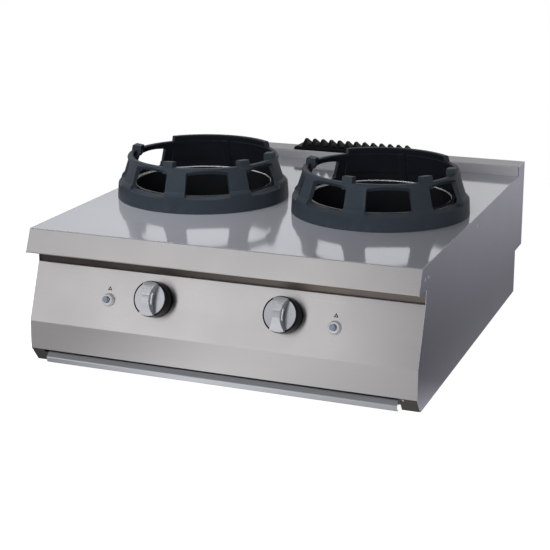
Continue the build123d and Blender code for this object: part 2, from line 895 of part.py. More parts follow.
    # Gas valve: a block with a boss that the spindle slides and turns in.
    knob_frame = panel_frame(sign * knob_x, knob_drop)
    with BuildPart() as gas_valve:
        with BuildSketch(knob_frame.offset(-valve_rear)):
            RectangleRounded(valve_size, valve_size, 2 * bend_radius)
        extrude(amount=valve_depth)
        with BuildSketch(knob_frame.offset(-valve_front)):
            Circle(valve_boss_radius)
        extrude(amount=boss_out + valve_front)
        with BuildSketch(knob_frame.offset(boss_out)):
            Circle(spindle_radius + seat_clearance)
        extrude(amount=-valve_lid, mode=Mode.SUBTRACT)
        with BuildSketch(knob_frame.offset(cavity_bottom_out)):
            Circle(valve_cavity_radius)
        extrude(amount=cavity_out - cavity_bottom_out, mode=Mode.SUBTRACT)
        outlet_plane = Plane(
            origin=panel_point(sign * (knob_x + valve_size / 2), -knob_drop, -valve_middle),
            x_dir=(0, 1, 0),
            z_dir=(sign, 0, 0),
        )
        with BuildSketch(outlet_plane):
            Circle(valve_outlet_radius)
        extrude(amount=valve_outlet_length)
    save(gas_valve, f"gas_valve_{side}")

    with BuildPart() as supply_pipe:
        add(round_tube(
            [
                (sign * (knob_x + valve_size / 2 + valve_outlet_length), outlet_point.Y, mixer_z),
                (centre_x, outlet_point.Y, mixer_z),
                (centre_x, injector_rear_y, mixer_z),
            ],
            supply_radius,
            supply_bend,
        ))
    save(supply_pipe, f"supply_pipe_{side}")

    # Pilot burner on its plate; the plate also holds the spark electrode and the probe.
    with BuildPart() as pilot_burner:
        plate_plane = Plane.XY.offset(well_floor_z)
        with BuildSketch(plate_plane):
            with Locations((sign * group_x, group_y)):
                RectangleRounded(pilot_plate_length, pilot_plate_width, bend_radius)
            with Locations((sign * electrode_x, group_y)):
                Circle(ceramic_radius + hole_clearance, mode=Mode.SUBTRACT)
            with Locations((sign * probe_x, group_y)):
                Circle(probe_radius + hole_clearance, mode=Mode.SUBTRACT)
        extrude(amount=pilot_plate_thickness)
        with BuildSketch(plate_plane):
            with Locations((sign * group_x, group_y)):
                Circle(pilot_radius)
        extrude(amount=pilot_height)
        with BuildSketch(Plane.XY.offset(well_floor_z + pilot_height - pilot_hood_height)):
            with Locations((sign * group_x, group_y)):
                Circle(pilot_hood_radius)
        extrude(amount=pilot_hood_height)
    save(pilot_burner, f"pilot_burner_{side}")

# ---------------------------------------------------------------- lines for both burners
with BuildPart() as pilot_tubes:
    for side, sign, turn in SIDES:
        add(round_tube(
            [
                (sign * group_x, group_y, well_floor_z),
                (sign * group_x, group_y, line_point.Z),
                (sign * group_x, line_point.Y + 2 * seat_clearance + pilot_tube_radius / 2,
                 line_point.Z),
            ],
            pilot_tube_radius,
            lead_bend,
        ))
save(pilot_tubes, "pilot_tubes")

with BuildPart() as thermocouples:
    for side, sign, turn in SIDES:
        probe_foot_z = well_floor_z - ceramic_bottom
        with BuildSketch(Plane.XY.offset(probe_foot_z)):
            with Locations((sign * probe_x, group_y)):
                Circle(probe_radius)
        extrude(amount=probe_top + ceramic_bottom)
        add(round_tube(
            [
                (sign * probe_x, group_y, probe_foot_z + sheet),
                (sign * probe_x, group_y, line_point.Z),
                (sign * probe_x, line_point.Y + 2 * seat_clearance + probe_lead_radius / 2,
                 line_point.Z),
            ],
            probe_lead_radius,
            lead_bend,
        ))
save(thermocouples, "thermocouples")

with BuildPart() as spark_electrodes:
    for side, sign, turn in SIDES:
        with BuildSketch(Plane.XY.offset(well_floor_z - ceramic_bottom)):
            with Locations((sign * electrode_x, group_y)):
                Circle(ceramic_radius)
        extrude(amount=ceramic_bottom + ceramic_top)
        with BuildSketch(Plane.XY.offset(well_floor_z + ceramic_top)):
            with Locations((sign * electrode_x, group_y)):
                Circle(spark_radius)
        extrude(amount=spark_length)
save(spark_electrodes, "spark_electrodes")

with BuildPart() as ignition_leads:
    for side, sign, turn in SIDES:
        add(round_tube(
            [
                (sign * electrode_x, group_y, well_floor_z - ceramic_bottom),
                (sign * electrode_x, group_y, lead_turn_point.Z),
                (sign * electrode_x, lead_turn_point.Y, lead_turn_point.Z),
                (sign * igniter_x, lead_turn_point.Y, lead_turn_point.Z),
                (sign * igniter_x, igniter_rear_point.Y, igniter_rear_point.Z),
            ],
            lead_radius,
            lead_bend,
        ))
save(ignition_leads, "ignition_leads")

# ---------------------------------------------------------------- gas manifold and inlet
with BuildPart() as gas_manifold:
    with BuildSketch(Plane.YZ.offset(manifold_left)):
        with Locations((manifold_point.Y, manifold_point.Z)):
            Circle(pipe_radius)
    extrude(amount=manifold_right - manifold_left)
    for side, sign, turn in SIDES:
        stub_plane = Plane(
            origin=panel_point(sign * knob_x, -manifold_drop, -valve_middle),
            x_dir=(1, 0, 0),
            z_dir=panel_up,
        )
        with BuildSketch(stub_plane):
            Circle(stub_radius)
        extrude(amount=manifold_drop - knob_drop - valve_size / 2)
    clamp_height = manifold_point.Z - front_rail_top
    with BuildSketch(Plane.XY.offset(front_rail_top)):
        with Locations((-manifold_clamp_x, manifold_point.Y), (manifold_clamp_x, manifold_point.Y)):
            Rectangle(manifold_clamp_width, 2 * pipe_radius)
    extrude(amount=clamp_height)
    with BuildSketch(Plane.YZ.offset(manifold_left)):
        with Locations((manifold_point.Y, manifold_point.Z)):
            RegularPolygon(manifold_cap_radius, hexagon_side_count)
    extrude(amount=-manifold_cap_length)
    with BuildSketch(Plane.YZ.offset(manifold_left)):
        with Locations((manifold_point.Y, manifold_point.Z)):
            Circle(pipe_bore)
    extrude(amount=manifold_right - manifold_left, mode=Mode.SUBTRACT)
save(gas_manifold, "gas_manifold")

with BuildPart() as inlet_pipe:
    add(round_tube(
        [
            (inlet_x, notch_y + inlet_nut_height, inlet_z),
            (inlet_x, inlet_turn_y, inlet_z),
            (inlet_x, inlet_turn_y, manifold_point.Z),
            (inlet_x, manifold_point.Y, manifold_point.Z),
            (manifold_right, manifold_point.Y, manifold_point.Z),
        ],
        pipe_radius,
        inlet_bend,
        pipe_bore,
    ))
    # Locknut against the back panel, and the threaded end behind it.
    with BuildSketch(Plane.XZ.offset(-notch_y)):
        with Locations((inlet_x, inlet_z)):
            RegularPolygon(inlet_nut_radius, hexagon_side_count)
            Circle(pipe_bore, mode=Mode.SUBTRACT)
    extrude(amount=-inlet_nut_height)
    with BuildSketch(Plane.XZ.offset(-(notch_y + inlet_nut_height))):
        with Locations((inlet_x, inlet_z)):
            Circle(thread_radius)
            Circle(pipe_bore, mode=Mode.SUBTRACT)
    extrude(amount=-(inlet_end_y - notch_y - inlet_nut_height))
save(inlet_pipe, "inlet_pipe")

# ---------------------------------------------------------------- controls
for side, sign, turn in SIDES:
    knob_frame = panel_frame(sign * knob_x, knob_drop)
    knob_axis = Axis(knob_frame.origin, panel_normal)

    with BuildPart() as knob_bezel:
        with BuildSketch(knob_frame):
            Circle(bezel_radius)
            Circle(bezel_bore, mode=Mode.SUBTRACT)
        extrude(amount=bezel_height)
        chamfer(knob_bezel.faces().sort_by(knob_axis)[-1].edges().sort_by(SortBy.RADIUS)[-1],
                length=bezel_chamfer)
    save(knob_bezel, f"knob_bezel_{side}")

    # Stage that the push moves, and that the spindle turns in.
    with BuildPart() as spindle_stage:
        with BuildSketch(knob_frame.offset(stage_out)):
            Circle(valve_cavity_radius - spigot_clearance)
            Circle(spindle_radius + running_clearance, mode=Mode.SUBTRACT)
        extrude(amount=stage_height)
    save(spindle_stage, f"spindle_stage_{side}")

    with BuildPart() as valve_spindle:
        with BuildSketch(knob_frame.offset(stage_out - seat_clearance)):
            Circle(spindle_foot_radius)
        extrude(amount=-spindle_foot_height)
        with BuildSketch(knob_frame.offset(stage_out - seat_clearance)):
            Circle(spindle_radius)
        extrude(amount=knob_height - knob_roof - stage_out)
    save(valve_spindle, f"valve_spindle_{side}")

    # Knob: a hollow black skirt with a hub, and a recess for the silver face.
    with BuildPart() as knob:
        radial = Plane(origin=knob_frame.origin, x_dir=(1, 0, 0), z_dir=(0, -sin(slope), -cos(slope)))
        roof = knob_height - knob_roof
        recess = knob_height - face_thickness
        with BuildSketch(radial):
            with BuildLine():
                Polyline(
                    (0, roof),
                    (knob_back_radius - knob_wall, roof),
                    (knob_back_radius - knob_wall, knob_gap),
                    (knob_back_radius, knob_gap),
                    (knob_radius, knob_height),
                    (face_radius + hole_clearance, knob_height),
                    (face_radius + hole_clearance, recess),
                    (0, recess),
                    close=True,
                )
            make_face()
        revolve(axis=knob_axis)
        rim_edges = knob.edges().filter_by(GeomType.CIRCLE).group_by(knob_axis)[-1]
        fillet(rim_edges.sort_by(SortBy.RADIUS)[-1], radius=knob_edge_radius)
        with BuildSketch(knob_frame.offset(knob_hub_gap)):
            Circle(knob_hub_radius)
            Circle(spindle_radius + hole_clearance, mode=Mode.SUBTRACT)
        extrude(amount=roof - knob_hub_gap)
    save(knob, f"knob_{side}")

    # Face: a thin disc and a waisted grip bar whose crest is an arch.
    with BuildPart() as knob_face:
        with BuildSketch(knob_frame.offset(recess)):
            Circle(face_radius)
        extrude(amount=face_thickness + face_lift)
        with BuildSketch(knob_frame.offset(knob_height)):
            half_end = grip_width / 2
            end_up = sqrt(knob_radius ** 2 - half_end ** 2) - knob_edge_radius
            with BuildLine():
                ThreePointArc((half_end, end_up), (grip_waist / 2, 0), (half_end, -end_up))
                ThreePointArc((half_end, -end_up), (0, knob_edge_radius - knob_radius),
                              (-half_end, -end_up))
                ThreePointArc((-half_end, -end_up), (-grip_waist / 2, 0), (-half_end, end_up))
                ThreePointArc((-half_end, end_up), (0, knob_radius - knob_edge_radius),
                              (half_end, end_up))
            make_face()
        extrude(amount=grip_height)
        crest_plane = Plane(origin=knob_frame.origin, x_dir=panel_up, z_dir=(1, 0, 0))
        # The crest: what stands above the arch is cut away.
        with BuildSketch(crest_plane):
            crest_z = knob_height + grip_height
            end_z = knob_height + grip_end_height
            with BuildLine():
                ThreePointArc((-knob_radius, end_z), (0, crest_z), (knob_radius, end_z))
                Polyline((knob_radius, end_z), (knob_radius, crest_z + knob_radius),
                         (-knob_radius, crest_z + knob_radius), (-knob_radius, end_z))
            make_face()
        extrude(amount=knob_radius, both=True, mode=Mode.SUBTRACT)
    save(knob_face, f"knob_face_{side}")

    # Igniter: a light collar in front of the panel, a body and a nut behind it.
    igniter_frame = panel_frame(sign * igniter_x, igniter_drop)
    igniter_axis = Axis(igniter_frame.origin, panel_normal)
    button_bore = button_radius + seat_clearance
    with BuildPart() as igniter_body:
        radial = Plane(origin=igniter_frame.origin, x_dir=(1, 0, 0),
                       z_dir=(0, -sin(slope), -cos(slope)))
        with BuildSketch(radial):
            with BuildLine():
                Polyline(
                    (0, -igniter_body_depth),
                    (igniter_body_radius, -igniter_body_depth),
                    (igniter_body_radius, 0),
                    (igniter_collar_radius, 0),
                    (igniter_collar_radius, sheet),
                    (igniter_collar_nose, igniter_collar_height),
                    (button_bore, igniter_collar_height),
                    (button_bore, -igniter_bore_depth),
                    (0, -igniter_bore_depth),
                    close=True,
                )
            make_face()
        revolve(axis=igniter_axis)
        with BuildSketch(igniter_frame.offset(-sheet)):
            RegularPolygon(igniter_nut_radius, hexagon_side_count)
        extrude(amount=-igniter_nut_height)
        with BuildSketch(igniter_frame):
            Circle(button_bore)
        extrude(amount=-igniter_bore_depth, mode=Mode.SUBTRACT)
    save(igniter_body, f"igniter_body_{side}")

    with BuildPart() as igniter_button:
        with BuildSketch(igniter_frame.offset(-button_tail)):
            Circle(button_radius)
        extrude(amount=button_tail + button_stand)
        fillet(igniter_button.faces().sort_by(igniter_axis)[-1].edges(), radius=button_edge)
    save(igniter_button, f"igniter_button_{side}")

# ---------------------------------------------------------------- drip tray
tray_centre_y = tray_front_y + tray_length / 2
with BuildPart() as drip_tray:
    with BuildSketch(Plane.XY.offset(tray_floor_z)):
        with Locations((0, tray_centre_y)):
            Rectangle(2 * tray_half_width, tray_length)
    extrude(amount=tray_top_z - tray_floor_z)
    fillet(drip_tray.faces().sort_by(Axis.Z)[0].edges(), radius=tray_corner)
    offset(amount=-tray_sheet, openings=drip_tray.faces().sort_by(Axis.Z)[-1])
    with BuildSketch(Plane.XY.offset(tray_top_z - tray_sheet)):
        with Locations((0, tray_centre_y)):
            Rectangle(2 * (tray_half_width + tray_flange), tray_length)
            Rectangle(2 * (tray_half_width - tray_sheet), tray_length - 2 * tray_sheet,
                      mode=Mode.SUBTRACT)
    extrude(amount=tray_sheet)
save(drip_tray, "drip_tray")

# Rolled front handle: a leg on the tray's front, a sloping top, a nose and a hem below.
with BuildPart() as tray_handle:
    handle_section = bent_sheet(
        Plane.YZ.offset(-handle_half_width),
        [
            (tray_front_y, handle_top_z - handle_leg),
            (tray_front_y, handle_top_z),
            (tray_front_y - handle_top_depth, handle_top_z),
            (tray_front_y - handle_reach, handle_nose_z),
            (tray_front_y - handle_chin_reach, handle_chin_z),
            (tray_front_y - handle_hem_reach, handle_hem_z),
        ],
        sheet,
        radius=[bend_radius, 2 * bend_radius, 2 * bend_radius, bend_radius],
    )
    extrude(handle_section, amount=2 * handle_half_width)
save(tray_handle, "tray_handle")

ledge_top_z = tray_top_z - tray_sheet - seat_clearance
for side, sign, turn in SIDES:
    with BuildPart() as tray_runner:
        runner_width = inner_half - runner_ledge_x
        runner_bottom = ledge_top_z - sheet
        runner_top = runner_lip_z + sheet
        with BuildSketch(Plane.XZ.offset(-rail_front_y)):
            with Locations((sign * (inner_half - runner_width / 2), (runner_bottom + runner_top) / 2)):
                Rectangle(runner_width, runner_top - runner_bottom)
            with Locations((sign * (inner_half - runner_width / 2 - sheet),
                            (ledge_top_z + runner_lip_z) / 2)):
                Rectangle(runner_width, runner_lip_z - ledge_top_z, mode=Mode.SUBTRACT)
        extrude(amount=-tray_length)
    save(tray_runner, f"tray_runner_{side}")

# ---------------------------------------------------------------- wok rings
window_height = window_top - window_bottom
shoulder_arc_z = (ring_band_top + ring_shoulder_top) / 2
shoulder_arc_r = (ring_band_radius + ring_shoulder_radius) / 2 + sheet
for side, sign, turn in SIDES:
    centre_x = sign * burner_x
    axis = upright_axis(centre_x, burner_y)
    with BuildPart() as wok_ring:
        # Cast wall all round: an upright band, a rounded shoulder and a cone.
        with BuildSketch(radial_plane(centre_x, burner_y, deck_height, 0)) as wall:
            with BuildLine():
                Polyline(
                    (ring_top_radius - ring_wall, ring_top),
                    (ring_band_radius - ring_base_wall, ring_shoulder_top),
                    (ring_base_radius - ring_base_wall, 0),
                    (ring_base_radius, 0),
                    (ring_band_radius, ring_band_top),
                )
                ThreePointArc(
                    (ring_band_radius, ring_band_top),
                    (shoulder_arc_r, shoulder_arc_z),
                    (ring_shoulder_radius, ring_shoulder_top),
                )
                Polyline(
                    (ring_shoulder_radius, ring_shoulder_top),
                    (ring_top_radius, ring_top),
                    (ring_top_radius - ring_wall, ring_top),
                )
            make_face()
            fillet(wall.vertices().group_by(Axis.Y)[-1], radius=ring_edge_radius)
        revolve(axis=axis)
        # Raised rear wall.
        rear_start = REAR - ring_rear_arc / 2 - turn
        with BuildSketch(radial_plane(centre_x, burner_y, deck_height, rear_start)) as rear:
            with BuildLine():
                Polyline(
                    (ring_rear_radius - ring_wall, ring_rear_top),
                    (ring_shoulder_radius - ring_wall, ring_shoulder_top),
                    (ring_shoulder_radius, ring_shoulder_top),
                    (ring_rear_radius, ring_rear_top),
                    close=True,
                )
            make_face()
            fillet(rear.vertices().group_by(Axis.Y)[-1], radius=ring_edge_radius)
        revolve(axis=axis, revolution_arc=ring_rear_arc)
        # Windows, each square to its own radius and flared towards the outside.
        for azimuth in window_azimuths:
            angle = radians(azimuth - turn)
            window_plane = Plane(
                origin=(centre_x, burner_y, deck_height + (window_bottom + window_top) / 2),
                x_dir=(cos(angle), sin(angle), 0),
                z_dir=(sin(angle), -cos(angle), 0),
            )
            with BuildSketch(window_plane.offset(ring_rear_radius - ring_wall)):
                RectangleRounded(window_width, window_height, window_corner)
            with BuildSketch(window_plane.offset(ring_base_radius)):
                with Locations((0, (window_top_flare - window_sill_flare) / 2)):
                    RectangleRounded(
                        window_width + 2 * window_side_flare,
                        window_height + window_top_flare + window_sill_flare,
                        window_corner,
                    )
            loft(mode=Mode.SUBTRACT)
        # Lugs that carry the wok, and the rib inside the rear wall.
        for azimuth in lug_azimuths:
            with BuildSketch(
                radial_plane(centre_x, burner_y, deck_height, azimuth - turn - lug_arc / 2)
            ) as lug:
                with BuildLine():
                    Polyline(
                        (ring_rear_radius, ring_rear_top),
                        (ring_rear_radius - lug_reach, ring_rear_top - ring_edge_radius),
                        (ring_rear_radius - lug_reach, ring_top - ring_edge_radius),
                        (ring_rear_radius - ring_wall, lug_root),
                        (ring_top_radius, lug_root),
                        (ring_top_radius, ring_top),
                        close=True,
                    )
                make_face()
                fillet(lug.vertices().group_by(Axis.Y)[-1], radius=ring_edge_radius)
            revolve(axis=axis, revolution_arc=lug_arc)
        with BuildSketch(
            radial_plane(centre_x, burner_y, deck_height, REAR - turn - rib_arc / 2)
        ):
            with BuildLine():
                Polyline(
                    (ring_rear_radius - ring_wall - rib_reach, ring_top),
                    (ring_band_radius - ring_base_wall - rib_reach, ring_shoulder_top),
                    (ring_base_radius - ring_base_wall - rib_reach, rib_foot),
                    (ring_base_radius - ring_base_wall + sheet, rib_foot),
                    (ring_band_radius - ring_base_wall + sheet, ring_shoulder_top),
                    (ring_rear_radius - ring_wall + sheet, ring_top),
                    close=True,
                )
            make_face()
        revolve(axis=axis, revolution_arc=rib_arc)
    save(wok_ring, f"wok_ring_{side}")
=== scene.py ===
import bmesh
import bpy
import json
from math import atan2, cos, pi, radians, sin
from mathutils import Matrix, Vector


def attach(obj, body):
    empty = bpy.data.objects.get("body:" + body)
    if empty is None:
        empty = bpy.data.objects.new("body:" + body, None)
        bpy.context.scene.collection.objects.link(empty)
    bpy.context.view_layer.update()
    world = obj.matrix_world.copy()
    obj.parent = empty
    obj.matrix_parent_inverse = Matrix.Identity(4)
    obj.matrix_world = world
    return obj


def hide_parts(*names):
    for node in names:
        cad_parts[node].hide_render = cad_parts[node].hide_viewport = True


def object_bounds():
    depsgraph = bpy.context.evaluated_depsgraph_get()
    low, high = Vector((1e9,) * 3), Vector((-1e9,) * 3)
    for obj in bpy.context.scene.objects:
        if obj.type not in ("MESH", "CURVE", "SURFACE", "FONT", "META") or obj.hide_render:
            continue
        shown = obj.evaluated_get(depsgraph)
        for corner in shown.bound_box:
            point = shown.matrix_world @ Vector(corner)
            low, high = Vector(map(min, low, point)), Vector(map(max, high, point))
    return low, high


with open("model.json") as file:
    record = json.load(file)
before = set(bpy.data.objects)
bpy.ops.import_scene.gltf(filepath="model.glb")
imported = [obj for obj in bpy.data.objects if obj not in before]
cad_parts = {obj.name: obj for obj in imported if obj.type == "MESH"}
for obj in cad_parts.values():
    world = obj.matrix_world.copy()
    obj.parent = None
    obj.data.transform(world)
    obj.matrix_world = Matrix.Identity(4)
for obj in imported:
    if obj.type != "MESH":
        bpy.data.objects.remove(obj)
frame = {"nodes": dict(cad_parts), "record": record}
cad_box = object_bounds()
nodes = frame["nodes"]
bodies = frame["record"]["behaviour"]["bodies"]
body_of_node = {node: body for body, members in bodies.items() for node in members}

# ---------------------------------------------------------------- sizes, in metres and radians
SIGNS = {"left": -1, "right": 1}
MM = 0.001

# Meshes: how near points are one point, how far two faces turn before their edge counts as flat,
# sharp or smooth, and the steps round a softened edge of sheet and of thicker pieces.
WELD = 0.00001
FLAT_ANGLE = radians(0.6)
EDGE_ANGLE = radians(28)
SMOOTH_ANGLE = radians(40)
SHEET_SEGMENTS = 2
ROUND_SEGMENTS = 3

# Which way a face looks, as the cosine between its normal and a direction.
TOWARDS_AXIS = 0.3
NEARLY_UPRIGHT = 0.1
NEARLY_LEVEL = 0.9
MAINLY = 0.5
SQUARELY = 0.99

# The body: burner axes, the deck's front edge, where a well's rim bends over, and the lower bend of
# the front's vertical band.
BURNER_X = 0.2
BURNER_Y = -0.04
DECK_FRONT = -0.42
WELL_LIP = 0.3
BAND_BOTTOM = 0.0305

# The sloping panel: (y, z) of its top edge, how far its foot stands forward over its height, and
# the direction out of its face. Drops are measured down its slope from the top edge.
PANEL_TOP = (-0.402, 0.201)
PANEL_FORWARD = 0.042
PANEL_HEIGHT = 0.113
PANEL_LEAN = atan2(PANEL_FORWARD, PANEL_HEIGHT)
PANEL_OUT = Vector((0, -cos(PANEL_LEAN), sin(PANEL_LEAN)))

# The triangle mark above each igniter: its middle, corner radius, open share, and height of print.
IGNITER_X = 0.2336
MARK_DROP = 0.0395
MARK_SIZE = 0.0054
MARK_HOLE = 0.4
PRINT_HEIGHT = 0.00015

# The painted highlight: a light rib on the right flank of each knob's grip, drawn in at its middle:
# the knob's axis, the flank's curve, then the line's half length, steps, two heights and thickness.
KNOB_X = 0.1336
KNOB_DROP = 0.05
FLANK_WAIST = 0.0069
FLANK_FLARE = 0.0011
LINE_HALF = 0.011
LINE_STEPS = 8
LINE_LOW = 0.0345
LINE_HIGH = 0.0365
LINE_RAISE = 0.0016

# The camera: a two-point match of the photograph, turned down a little, with the rest as shift.
PHOTO_SIZE = 550
SENSOR = 36.0
CAMERA_PLACE = (1.0286, -2.7662, 0.9790)
CAMERA_YAW = radians(21.29)
CAMERA_PITCH = radians(14.32)
FOCAL_PIXELS = 1413.49
CAMERA_SHIFT = -0.1

# The room that metal mirrors: (degrees round from the front, negative to the left; level), and
# (sine of the height above the horizon; level). The soft light runs from the horizon upwards.
ROOM_AROUND = [
    (-180, 0.95), (-168, 0.8), (-163, 0.74), (-156, 0.68), (-148, 0.5), (-60, 0.7), (-33, 0.9),
    (-26, 1.32), (-21.5, 1.3), (-19.5, 0.95), (-17.8, 1.85), (-16.4, 0.35), (-14, 0.25), (20, 0.2),
    (60, 0.4), (120, 0.3), (170, 0.9),
]
ROOM_UP = [(0.2, 1.05), (0.34, 1.0), (0.43, 0.9), (0.6, 0.5), (0.85, 0.35)]
SOFT_LIGHT = {"low": 0.0, "high": 0.8, "to_low": 0.5, "to_high": 0.12}

# The floor: half its width, the grey of its paper, and the glow that turns to plain white with
# the distance from the object.
FLOOR_HALF = 12.0
FLOOR_PAPER = 0.86
FLOOR_GLOW = 0.85
WHITE_FROM = 0.8
WHITE_BEYOND = 1.6

# The floor that metal mirrors: (x; level) in front of the object, fading under it, and (y; level)
# beside it, from its right side on.
FLOOR_LEFT_TO_RIGHT = (-0.5, 0.5)
FLOOR_IN_FRONT = [(-0.4, 0.36), (-0.05, 0.95), (0.25, 0.65), (0.45, 0.5)]
FRONT_FADE = {"low": -0.45, "high": -0.25, "to_low": 1.0, "to_high": 0.4}
FLOOR_FRONT_TO_REAR = (-0.5, 1.5)
FLOOR_BESIDE = [(-0.5, 0.05), (-0.2, 0.09), (0.3, 0.2), (1.5, 0.44)]
RIGHT_SIDE = {"low": 0.4, "high": 0.55}


# ---------------------------------------------------------------- node trees
def grey(level):
    return (level, level, level, 1)


def tone(colour, factor):
    """A colour made darker or lighter, as a shader colour."""
    return tuple(min(1.0, part * factor) for part in colour) + (1,)


class Tree:
    """A short way to write shader nodes: add() makes a node, and sets or links its inputs."""

    def __init__(self, tree):
        self.tree = tree
        tree.nodes.clear()

    def add(self, kind, inputs=None, **settings):
        node = self.tree.nodes.new("ShaderNode" + kind)
        for name, value in settings.items():
            setattr(node, name, value)
        for name, value in (inputs or {}).items():
            if isinstance(value, bpy.types.NodeSocket):
                self.tree.links.new(value, node.inputs[name])
            else:
                node.inputs[name].default_value = value
        return node

    def math(self, operation, first, second=0.0, third=0.0):
        return self.add("Math", {0: first, 1: second, 2: third}, operation=operation).outputs[0]

    def span(self, value, low, high, to_low=0.0, to_high=1.0):
        """Maps a value from one span to another, held at both ends."""
        node = self.add("MapRange", {"Value": value, "From Min": low, "From Max": high,
                                     "To Min": to_low, "To Max": to_high})
        return node.outputs["Result"]

    def mix(self, share, first, second):
        """A colour between two colours."""
        node = self.add("Mix", data_type="RGBA")
        for index, value in ((0, share), (6, first), (7, second)):
            if isinstance(value, bpy.types.NodeSocket):
                self.tree.links.new(value, node.inputs[index])
            else:
                node.inputs[index].default_value = value
        return node.outputs[2]

    def levels(self, value, low, high, stops):
        """Grey levels at places along a value, which runs from low to high."""
        node = self.add("ValToRGB", {"Fac": self.span(value, low, high)})
        ramp = node.color_ramp
        while len(ramp.elements) < len(stops):
            ramp.elements.new(0.5)
        for element, (place, level) in zip(ramp.elements, stops):
            element.position = (place - low) / (high - low)
            element.color = grey(level)
        return node.outputs["Color"]

    def place(self, stretch=(1.0, 1.0, 1.0)):
        """The piece's own coordinates in metres, stretched."""
        coordinates = self.add("TexCoord").outputs["Object"]
        return self.add("Mapping", {"Vector": coordinates, "Scale": stretch}).outputs[0]

    def noise(self, place, scale, detail=2.0, rough=0.5):
        node = self.add("TexNoise", {"Vector": place, "Scale": scale, "Detail": detail,
                                     "Roughness": rough})
        return node.outputs["Fac"]


def new_material(name, **inputs):
    """A Principled material. Returns the tree, the shader node and the material."""
    material = bpy.data.materials.new(name)
    material.use_nodes = True
    tree = Tree(material.node_tree)
    shader = tree.add("BsdfPrincipled", {key.replace("_", " "): value for key, value in inputs.items()})
    tree.add("OutputMaterial", {"Surface": shader.outputs[0]})
    return tree, shader, material


def bump(tree, shader, height, distance, strength):
    """Relief of a surface: its height pattern, how deep it is, and how strongly it shows."""
    node = tree.add("Bump", {"Height": height, "Distance": distance, "Strength": strength})
    tree.tree.links.new(node.outputs[0], shader.inputs["Normal"])


def link(tree, output, shader, name):
    """Feeds a pattern into one of a shader's inputs."""
    tree.tree.links.new(output, shader.inputs[name])


# ---------------------------------------------------------------- materials
def steel(name, colour, roughness, along=(1, 40, 40), contrast=0.05, metallic=1.0, smudge=0.04,
          brushed=0.0, relief=0.0000015, painted_shade=None):
    """Stainless sheet: fine brushed lines, broader streaks, and faint smudges from handling.

    Brushed lines along X draw what the sheet mirrors out across them. A painted shade scales the
    colour from its strength at the left end to its strength at the right end of the object.
    """
    tree, shader, material = new_material(name, Metallic=metallic, Anisotropic=brushed)
    if brushed:
        around = tree.add("Tangent", direction_type="RADIAL", axis="X").outputs[0]
        link(tree, around, shader, "Tangent")
    finer = tuple(12.0 * part for part in along)
    lines = tree.noise(tree.place(finer), scale=4.0, detail=3.0, rough=0.7)
    streaks = tree.noise(tree.place(along), scale=3.0)
    cloud = tree.noise(tree.place(), scale=7.0, detail=4.0, rough=0.55)
    grain = tree.math("MULTIPLY_ADD", lines, 0.5, tree.math("MULTIPLY", streaks, 0.5))
    low, high = tone(colour, 1 - contrast), tone(colour, 1 + contrast)
    sheet = tree.mix(tree.span(grain, 0.3, 0.7), low, high)
    # Painted shade: the colour is scaled darker or lighter from the left end to the right end.
    if painted_shade:
        across = tree.add("SeparateXYZ", {"Vector": tree.place()}).outputs["X"]
        strength = tree.span(across, cad_box[0][0], cad_box[1][0], *painted_shade)
        sheet = tree.add("VectorMath", {0: sheet, "Scale": strength}, operation="SCALE").outputs[0]
    shade = tree.span(cloud, 0.35, 0.7)
    link(tree, tree.mix(tree.math("MULTIPLY", shade, smudge), sheet, grey(0.3)), shader, "Base Color")
    rough = tree.math("MULTIPLY_ADD", grain, 0.08, roughness - 0.04)
    link(tree, tree.math("MULTIPLY_ADD", shade, smudge, rough), shader, "Roughness")
    bump(tree, shader, grain, relief, strength=0.5)
    return material


def cast_iron(name, colour, roughness, edge, relief=0.00035):
    """Enamelled casting: a fine sandy skin, low waves, and edges where the coat is thinner."""
    tree, shader, material = new_material(name, Specular_IOR_Level=0.12)
    sand = tree.noise(tree.place(), scale=900.0, detail=3.0, rough=0.6)
    waves = tree.noise(tree.place(), scale=60.0)
    patches = tree.noise(tree.place(), scale=18.0, detail=3.0)
    ridge = tree.span(tree.add("NewGeometry").outputs["Pointiness"], 0.5, 0.58)
    worn = tree.math("MULTIPLY", ridge, tree.span(sand, 0.35, 0.6))
    base = tree.mix(patches, tone(colour, 0.8), tone(colour, 1.2))
    coat = tree.mix(tree.math("MULTIPLY", worn, 0.6), base, tone(colour, edge))
    link(tree, coat, shader, "Base Color")
    link(tree, tree.math("MULTIPLY_ADD", patches, 0.16, roughness - 0.08), shader, "Roughness")
    height = tree.math("MULTIPLY_ADD", waves, 1.0, tree.math("MULTIPLY", sand, 0.35))
    bump(tree, shader, height, relief, strength=0.6)
    return material


def moulded(name, colour, roughness, speckle=0.06, relief=0.00004, shine=0.4):
    """Moulded plastic, rubber or ceramic: an even colour with a very fine grain and slight wear."""
    tree, shader, material = new_material(name, Specular_IOR_Level=shine)
    grain = tree.noise(tree.place(), scale=1600.0)
    cloud = tree.noise(tree.place(), scale=45.0, detail=3.0)
    base = tree.mix(cloud, tone(colour, 1 - speckle), tone(colour, 1 + speckle))
    link(tree, base, shader, "Base Color")
    link(tree, tree.math("MULTIPLY_ADD", cloud, 0.1, roughness - 0.05), shader, "Roughness")
    bump(tree, shader, grain, relief, strength=0.4)
    return material


def worked_metal(name, colour, roughness, contrast=0.08, scale=120.0, relief=0.00008, metallic=1.0):
    """Drawn, turned or plated metal: mottled colour, dull spots and fine scratches."""
    tree, shader, material = new_material(name, Metallic=metallic)
    mottle = tree.noise(tree.place(), scale, detail=4.0, rough=0.6)
    spots = tree.noise(tree.place(), scale * 0.2, detail=3.0)
    base = tree.mix(mottle, tone(colour, 1 - contrast), tone(colour, 1 + contrast))
    link(tree, base, shader, "Base Color")
    link(tree, tree.math("MULTIPLY_ADD", spots, 0.2, roughness - 0.1), shader, "Roughness")
    bump(tree, shader, mottle, relief, strength=0.5)
    return material


